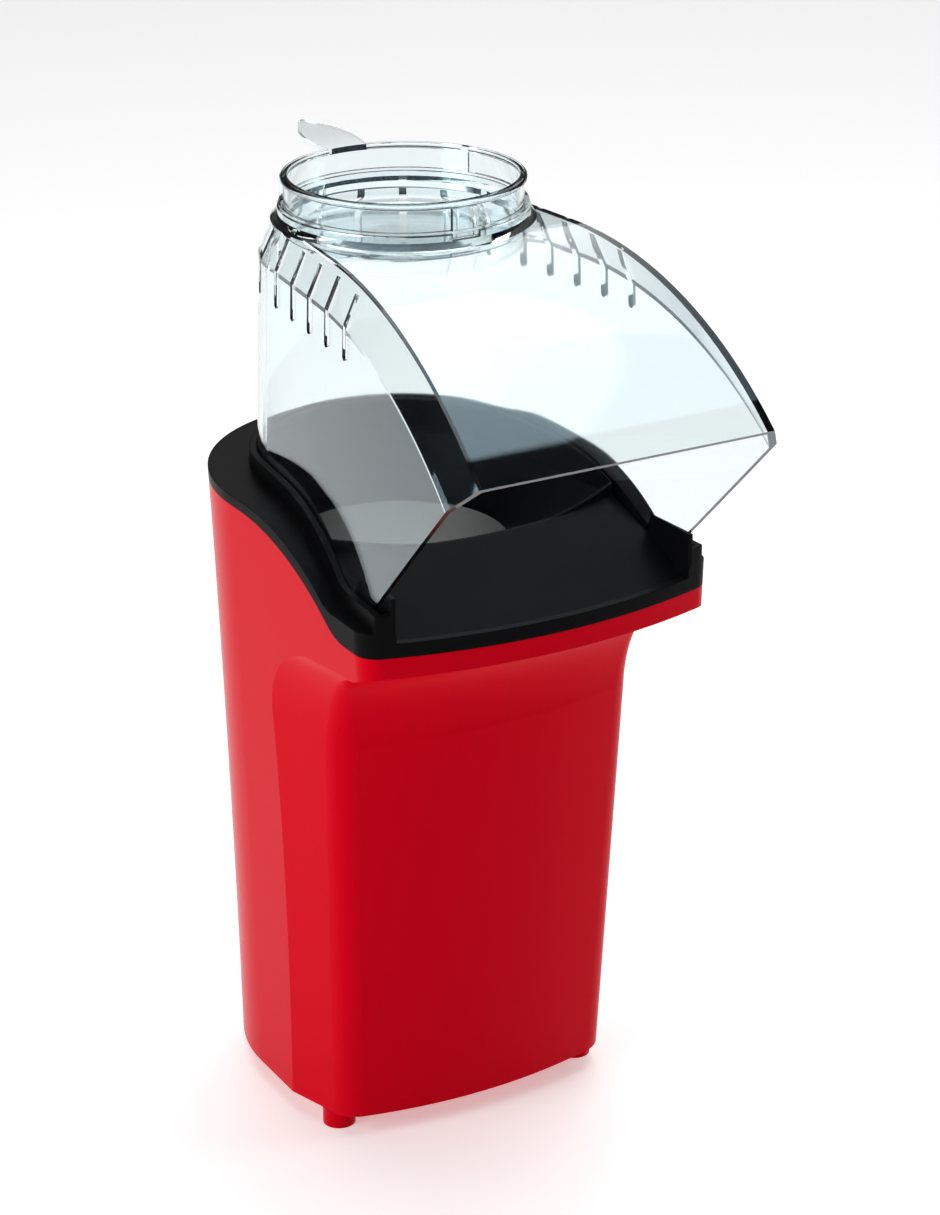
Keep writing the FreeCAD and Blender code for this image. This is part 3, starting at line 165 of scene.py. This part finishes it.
moulded, *moulded_ends = effect_group("moulded_plastic", {"Fineness": 1.0}, ["Grain", "Smudge"])
noise_in(moulded, moulded_ends, "Fineness", 1800.0, 2.0, "Grain")
noise_in(moulded, moulded_ends, "Fineness", 28.0, 4.0, "Smudge")


def plastic(name, colour, worn, roughness, fineness=1.0, depth=0.00003, strength=0.5, swing=0.06,
            edge_radius=0.0005):
    """Moulded plastic or rubber: tool grain in the surface and faint smudges."""
    made, tree, shader = new_material(name)
    grain = placed_group(tree, moulded, Fineness=fineness)
    tree.links.new(tinted(tree, grain.outputs["Smudge"], colour, worn), shader.inputs["Base Color"])
    tree.links.new(spread(tree, grain.outputs["Smudge"], roughness - swing, roughness + swing),
                   shader.inputs["Roughness"])
    raised(tree, shader, grain.outputs["Grain"], depth, strength)
    # moulded edges are never quite sharp, so they catch a thin line of light
    edge = node(tree, "ShaderNodeBevel", Radius=edge_radius)
    edge.samples = 4
    bump = shader.inputs["Normal"].links[0].from_node
    tree.links.new(edge.outputs["Normal"], bump.inputs["Normal"])
    return made, shader


# ---- Magnets, brushes and bearings.
# Two ferrite arcs are glued inside the can; carbon brushes press on the commutator, and the
# shaft runs in sintered bronze bearings soaked with oil.

ferrite, _ = plastic("ferrite", (0.055, 0.055, 0.06), (0.09, 0.09, 0.095), 0.6)
carbon, _ = plastic("carbon", (0.02, 0.02, 0.021), (0.035, 0.035, 0.035), 0.5)
bronze = metal("sintered_bronze", (0.60, 0.38, 0.16), (0.42, 0.26, 0.12), 0.45, fineness=4.0)
dress(ferrite, "motor_magnets")
dress(carbon, "motor_brushes", "rectifier_diodes")
dress(bronze, "upper_bearing", "lower_bearing")

# ---- Rotor: laminated core, copper windings, commutator and impeller.
# The core is a stack of oiled steel sheets, wound with enamelled copper wire; the impeller is
# pressed from aluminium and held on the shaft by a nut.

core_steel = metal("core_steel", (0.30, 0.30, 0.31), (0.20, 0.20, 0.21), 0.42, fineness=2.0)
copper = metal("copper", (0.80, 0.36, 0.19), (0.58, 0.24, 0.12), 0.3, fineness=2.0)
aluminium = metal("aluminium_sheet", (0.78, 0.78, 0.77), (0.66, 0.66, 0.66), 0.3)
dress(core_steel, "armature_core")
dress(copper, "armature_windings", "commutator")
dress(aluminium, "impeller")

# ---- Vibration bushes, chamber gasket and cord gland.
# Moulded rubber keeps the motor's hum out of the housing; the gasket is heat-proof silicone.

rubber, _ = plastic("black_rubber", (0.016, 0.016, 0.016), (0.028, 0.027, 0.026), 0.55)
silicone, _ = plastic("silicone", (0.36, 0.10, 0.06), (0.28, 0.08, 0.05), 0.5)
dress(rubber, "vibration_bushes", "cord_gland")
dress(silicone, "chamber_gasket")

# ---- Heater: mica boards and resistance wire.
# Crossed sheets of mica carry the wire, which darkens with its first heat. The wire is drawn
# nickel-chrome, wound into a fine spring and then laid round the boards.

mica, _ = plastic("mica", (0.52, 0.42, 0.28), (0.66, 0.58, 0.44), 0.35, fineness=0.6)
hot_wire = metal("resistance_wire", (0.34, 0.30, 0.27), (0.20, 0.17, 0.16), 0.38, fineness=3.0)
dress(mica, "mica_frame")
dress(hot_wire, "heating_coil", "dropper_coil")

coil_pitch = 0.0090
spring_radius = 0.00105
wire_radius = 0.00028
wire_sides = 5
path_steps = 64
points_a_turn = 420
points_a_loop = 10.0
# each coil's radius and its number of turns round the boards
coils = {"heating_coil": (0.040, 5), "dropper_coil": (0.022, 3)}
for coil_name, (reach, turns) in coils.items():
    climb = coil_pitch * (turns - 1)
    low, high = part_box(coil_name)
    centre = (Vector(low) + Vector(high)) / 2
    tree = bpy.data.node_groups.new(coil_name + "_wire", "GeometryNodeTree")
    tree.interface.new_socket("Geometry", in_out="OUTPUT", socket_type="NodeSocketGeometry")
    wound = tree.interface.new_socket("Windings", in_out="INPUT", socket_type="NodeSocketFloat")
    start = tree.nodes.new("NodeGroupInput")
    end = tree.nodes.new("NodeGroupOutput")
    spiral = tree.nodes.new("GeometryNodeCurveSpiral")
    spiral.inputs["Resolution"].default_value = path_steps
    spiral.inputs["Start Radius"].default_value = reach
    spiral.inputs["End Radius"].default_value = reach
    spiral.inputs["Height"].default_value = climb
    tree.links.new(start.outputs["Windings"], spiral.inputs["Rotations"])
    # the wire itself is wound into a fine spring round that path
    fine = tree.nodes.new("GeometryNodeResampleCurve")
    fine.inputs["Count"].default_value = points_a_turn * turns
    tree.links.new(spiral.outputs["Curve"], fine.inputs["Curve"])
    index = tree.nodes.new("GeometryNodeInputIndex")
    turn = tree.nodes.new("ShaderNodeMath")
    turn.operation = "MULTIPLY"
    turn.inputs[1].default_value = math.tau / points_a_loop
    tree.links.new(index.outputs[0], turn.inputs[0])
    normal = tree.nodes.new("GeometryNodeInputNormal")
    tangent = tree.nodes.new("GeometryNodeInputTangent")
    swing = tree.nodes.new("ShaderNodeVectorRotate")
    tree.links.new(normal.outputs["Normal"], swing.inputs["Vector"])
    tree.links.new(tangent.outputs["Tangent"], swing.inputs["Axis"])
    tree.links.new(turn.outputs[0], swing.inputs["Angle"])
    out = tree.nodes.new("ShaderNodeVectorMath")
    out.operation = "SCALE"
    out.inputs["Scale"].default_value = spring_radius
    tree.links.new(swing.outputs["Vector"], out.inputs[0])
    shift = tree.nodes.new("GeometryNodeSetPosition")
    tree.links.new(fine.outputs["Curve"], shift.inputs["Geometry"])
    tree.links.new(out.outputs["Vector"], shift.inputs["Offset"])
    section = tree.nodes.new("GeometryNodeCurvePrimitiveCircle")
    section.inputs["Resolution"].default_value = wire_sides
    section.inputs["Radius"].default_value = wire_radius
    skin = tree.nodes.new("GeometryNodeCurveToMesh")
    skin.inputs["Fill Caps"].default_value = True
    tree.links.new(shift.outputs["Geometry"], skin.inputs["Curve"])
    tree.links.new(section.outputs["Curve"], skin.inputs["Profile Curve"])
    real = tree.nodes.new("GeometryNodeRealizeInstances")
    tree.links.new(skin.outputs["Mesh"], real.inputs["Geometry"])
    paint = tree.nodes.new("GeometryNodeSetMaterial")
    paint.inputs["Material"].default_value = hot_wire
    tree.links.new(real.outputs["Geometry"], paint.inputs["Geometry"])
    tree.links.new(paint.outputs["Geometry"], end.inputs["Geometry"])
    seed_mesh = bpy.data.meshes.new(coil_name + "_seed")
    wire = bpy.data.objects.new(coil_name + "_wire", seed_mesh)
    bpy.context.scene.collection.objects.link(wire)
    grow = wire.modifiers.new("wind", "NODES")
    grow.node_group = tree
    grow[wound.identifier] = float(turns)
    seen = wire.evaluated_get(bpy.context.evaluated_depsgraph_get())
    final = bpy.data.meshes.new_from_object(seen)
    wire.modifiers.clear()
    wire.data = final
    final.transform(Matrix.Translation(centre - Vector((0, 0, climb / 2))))
    for face in final.polygons:
        face.use_smooth = True
    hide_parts(coil_name)
    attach(wire, "base")

# ---- Wiring parts: board, terminal block, fuse and cord clamp.
# The diodes stand on a phenolic board; the other parts are moulded in white nylon or ceramic.

board, _ = plastic("phenolic_board", (0.33, 0.17, 0.06), (0.26, 0.13, 0.05), 0.4)
nylon, _ = plastic("white_nylon", (0.72, 0.70, 0.64), (0.64, 0.62, 0.56), 0.42)
dress(board, "rectifier_board")
dress(nylon, "terminal_block", "thermal_fuse", "cord_clamp")

# ---- Popping chamber.
# A deep-drawn aluminium can with slanting louvres cut round its wall; its inside is satin.

chamber_metal = metal("drawn_aluminium", (0.80, 0.80, 0.78), (0.68, 0.68, 0.67), 0.34)
dress(chamber_metal, "popping_chamber")

# ---- Body shell and base cover.
# Glossy red ABS, injection moulded; the cover carries the four feet and the air grille.

red, red_shader = plastic("red_gloss_plastic", (0.60, 0.0002, 0.010), (0.56, 0.0001, 0.008),
                          0.26, fineness=0.12, depth=0.00006, strength=0.10, swing=0.03)
red_shader.inputs["Specular IOR Level"].default_value = 0.04
red_shader.inputs["Specular Tint"].default_value = (1.0, 0.22, 0.36, 1.0)
dress(red, "body_shell", "base_cover")

# ---- Top trim.
# Black ABS with a fine tool grain: the flange, groove and chute round the chamber's mouth.

black, black_shader = plastic("black_satin_plastic", (0.0022, 0.0022, 0.0026),
                              (0.0034, 0.0034, 0.0040), 0.38, depth=0.00003, strength=0.35,
                              edge_radius=0.0008)
black_shader.inputs["Specular IOR Level"].default_value = 0.03
dress(black, "top_trim", "motor_end_cap")

# ---- Hood and measuring cap.
# Clear moulded polycarbonate, faintly blue where it is seen edge-on.

clear, clear_tree, clear_shader = new_material("clear_plastic")
clear_shader.inputs["Base Color"].default_value = (0.90, 0.965, 0.98, 1.0)
clear_shader.inputs["IOR"].default_value = 1.5
clear_shader.inputs["Transmission Weight"].default_value = 1.0
clear_shader.inputs["Specular Tint"].default_value = (0.62, 0.86, 1.0, 1.0)
clear_grain = placed_group(clear_tree, moulded, Fineness=0.3)
clear_tree.links.new(spread(clear_tree, clear_grain.outputs["Smudge"], 0.015, 0.06),
                     clear_shader.inputs["Roughness"])
light_path = clear_tree.nodes.new("ShaderNodeLightPath")
see_through = node(clear_tree, "ShaderNodeBsdfTransparent", Color=(0.90, 0.93, 0.94, 1.0))
shadow_mix = clear_tree.nodes.new("ShaderNodeMixShader")
clear_tree.links.new(light_path.outputs["Is Shadow Ray"], shadow_mix.inputs["Fac"])
clear_tree.links.new(clear_shader.outputs["BSDF"], shadow_mix.inputs[1])
clear_tree.links.new(see_through.outputs["BSDF"], shadow_mix.inputs[2])
clear_tree.links.new(shadow_mix.outputs["Shader"],
                     clear_tree.nodes["Material Output"].inputs["Surface"])
dress(clear, "hood", "measuring_cap")

# ---- Floor, light and camera.
# A pale table, a white room, a high lamp and three soft boxes; the camera looks down from the
# front left.

bpy.context.scene.view_settings.view_transform = "Standard"
floor_half = 6.0
floor_mesh = bpy.data.meshes.new("floor")
floor_mesh.from_pydata([(-floor_half, -floor_half, 0), (floor_half, -floor_half, 0),
                        (floor_half, floor_half, 0), (-floor_half, floor_half, 0)],
                       [], [(0, 1, 2, 3)])
floor = bpy.data.objects.new("floor", floor_mesh)
bpy.context.scene.collection.objects.link(floor)
pale, _, pale_shader = new_material("pale_table")
pale_shader.inputs["Base Color"].default_value = (0.90, 0.90, 0.90, 1.0)
pale_shader.inputs["Roughness"].default_value = 0.6
pale_shader.inputs["Emission Color"].default_value = (1.0, 1.0, 1.0, 1.0)
pale_shader.inputs["Emission Strength"].default_value = 0.38
floor_mesh.materials.append(pale)

room = bpy.data.worlds.new("room")
room.use_nodes = True
sky = room.node_tree.nodes["Background"]
sky_place = room.node_tree.nodes.new("ShaderNodeTexCoord")
sky_split = room.node_tree.nodes.new("ShaderNodeSeparateXYZ")
# dimmer in front, bright at the sides and behind
sky_rise = node(room.node_tree, "ShaderNodeMapRange", From_Min=-0.95, From_Max=-0.1, To_Min=0.42,
                To_Max=1.15)
room.node_tree.links.new(sky_place.outputs["Generated"], sky_split.inputs["Vector"])
room.node_tree.links.new(sky_split.outputs["Y"], sky_rise.inputs["Value"])
room.node_tree.links.new(sky_rise.outputs["Result"], sky.inputs["Strength"])
bpy.context.scene.world = room


def soft_box(name, place, aim, width, height, power):
    """A rectangular area light at a place, turned to face a point."""
    lamp = bpy.data.lights.new(name, "AREA")
    lamp.shape = "RECTANGLE"
    lamp.size = width
    lamp.size_y = height
    lamp.energy = power
    made = bpy.data.objects.new(name, lamp)
    made.location = place
    made.rotation_euler = (Vector(aim) - Vector(place)).to_track_quat("-Z", "Y").to_euler()
    bpy.context.scene.collection.objects.link(made)


# a broad lamp high behind keeps the table white and leaves the front in soft shade
high_lamp = bpy.data.lights.new("high_lamp", "SUN")
high_lamp.energy = 1.5
high_lamp.angle = math.radians(70.0)
high_light = bpy.data.objects.new("high_lamp", high_lamp)
high_light.rotation_euler = Vector((0.5, 0.55, 1.0)).to_track_quat("Z", "Y").to_euler()
bpy.context.scene.collection.objects.link(high_light)

middle = (0.0, 0.0, 0.22)
soft_box("left_box", (-1.5, -0.1, 0.7), middle, 0.9, 1.3, 15.0)
soft_box("right_box", (1.5, -0.5, 0.8), middle, 0.6, 1.3, 7.0)
soft_box("top_box", (0.0, 0.3, 1.8), middle, 1.8, 1.5, 12.0)

camera_azimuth = math.radians(-29.87)
camera_height = math.radians(22.61)
camera_roll = math.radians(-0.07)
camera_aim = Vector((0.03335, 0.04524, 0.21175))
camera_distance = 1.4861
back = Vector((math.sin(camera_azimuth) * math.cos(camera_height),
               -math.cos(camera_azimuth) * math.cos(camera_height),
               math.sin(camera_height)))
right = Vector((math.cos(camera_azimuth), math.sin(camera_azimuth), 0.0))
upward = back.cross(right)
lens = bpy.data.cameras.new("camera")
lens.sensor_fit = "VERTICAL"
lens.sensor_height = 36.0
lens.lens = 98.33
lens.clip_start = 0.05
lens.clip_end = 50.0
camera = bpy.data.objects.new("camera", lens)
camera.matrix_world = (Matrix.Translation(camera_aim + back * camera_distance)
                       @ Matrix((right, upward, back)).transposed().to_4x4()
                       @ Matrix.Rotation(camera_roll, 4, "Z"))
bpy.context.scene.collection.objects.link(camera)
bpy.context.scene.camera = camera
